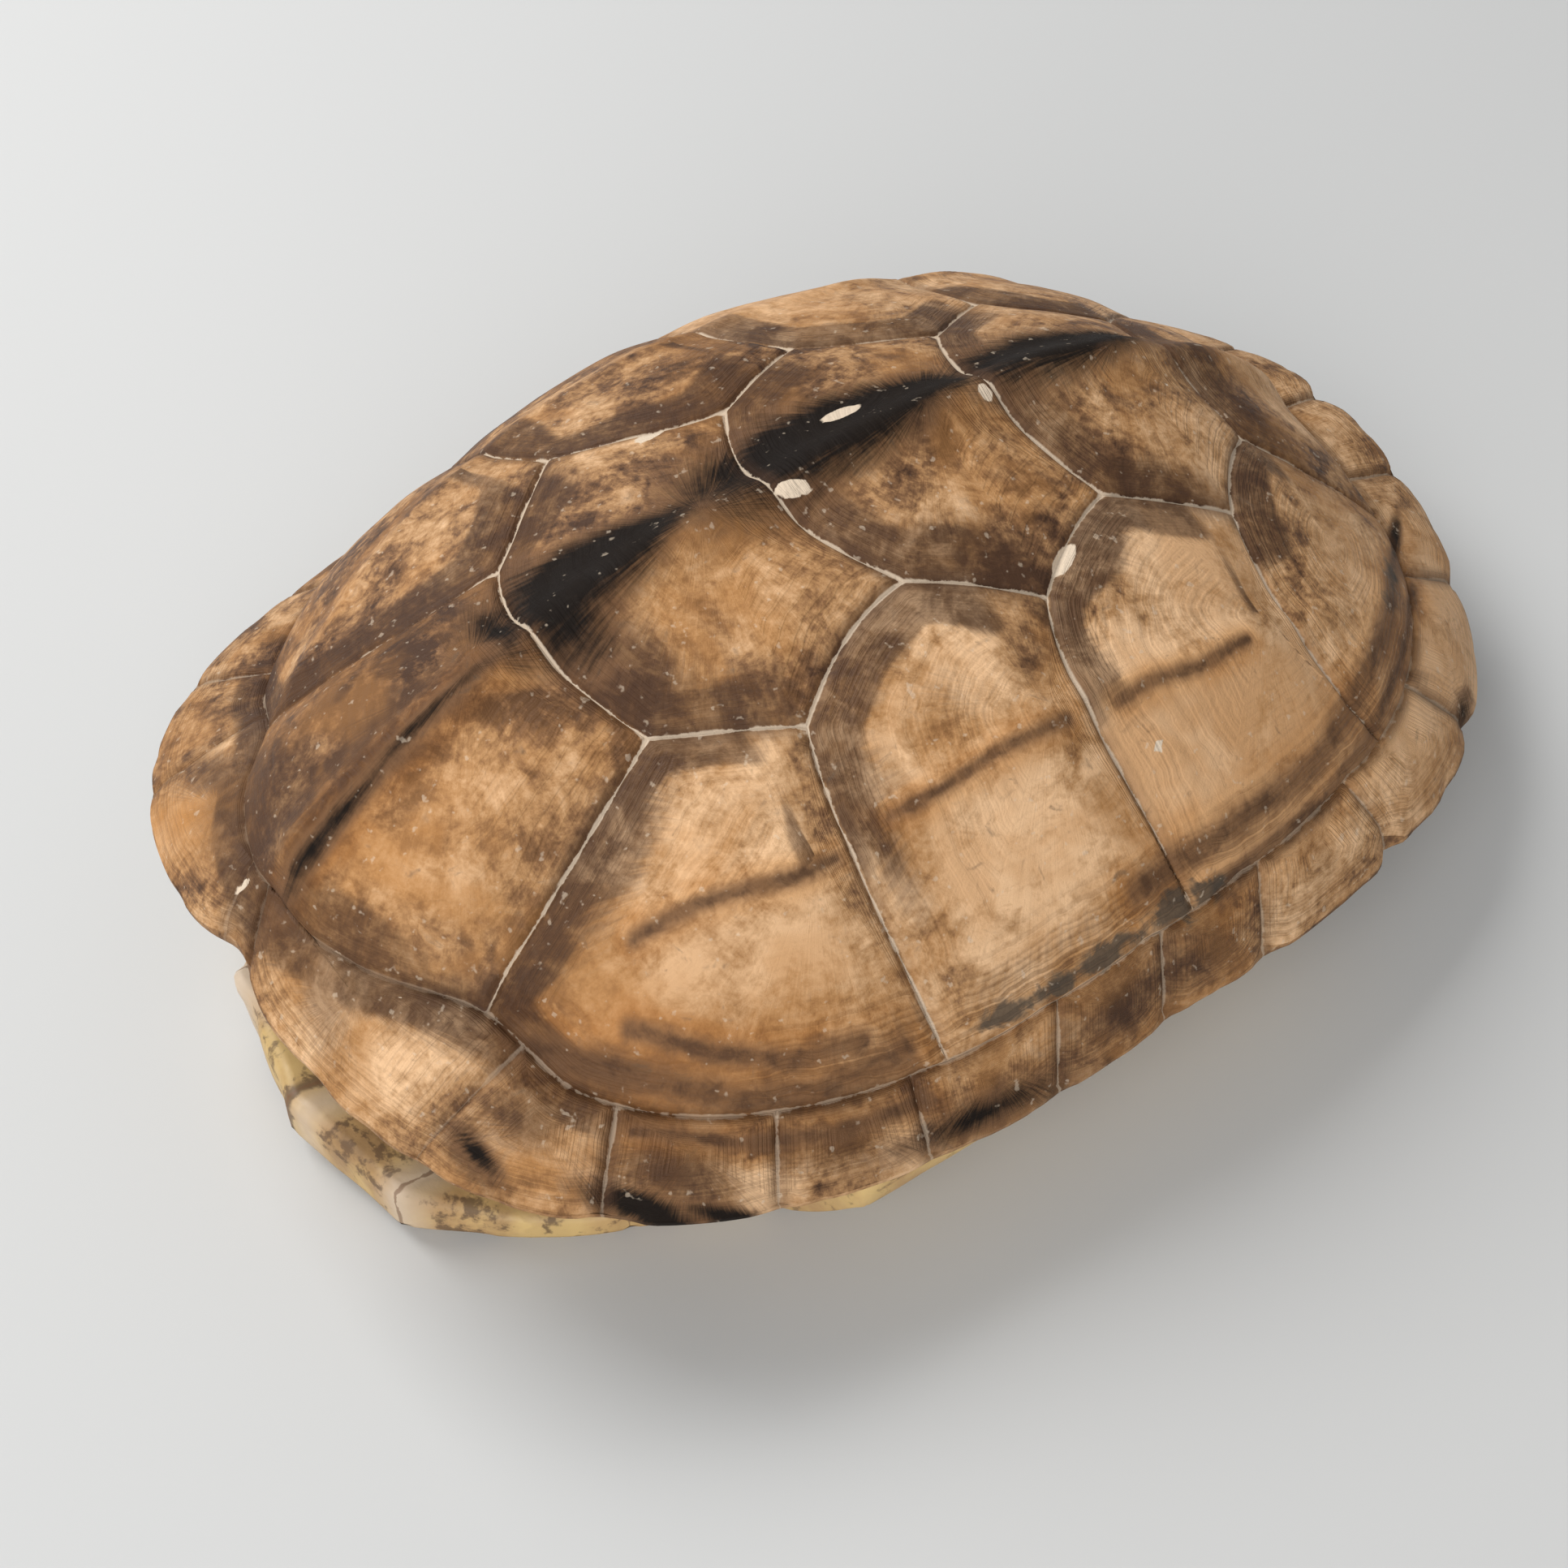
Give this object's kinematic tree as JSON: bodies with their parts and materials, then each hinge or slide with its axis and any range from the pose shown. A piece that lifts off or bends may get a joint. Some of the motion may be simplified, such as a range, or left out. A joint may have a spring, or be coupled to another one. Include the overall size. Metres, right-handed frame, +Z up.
{
  "type": "turtle shell",
  "caption": "Empty pond-turtle shell: domed, three-keeled carapace of horny scutes joined by side bridges to a flat pale plastron, open for head, limbs and tail.",
  "frame": {"origin": "middle of the shell's length and width, on the surface that the plastron rests on", "axes": "+Z up, +Y towards the tail end, -Y towards the head end, +X towards the animal's left side"},
  "size_m": [0.0968, 0.13, 0.05],
  "materials": {
    "scute_horn": "dry horn, tan to dark brown, soft sheen",
    "plastron_horn": "pale yellow horn with dark patches, soft sheen"
  },
  "bodies": {
    "root": {"carapace": "scute_horn", "plastron": "plastron_horn"}
  },
  "joints": []
}
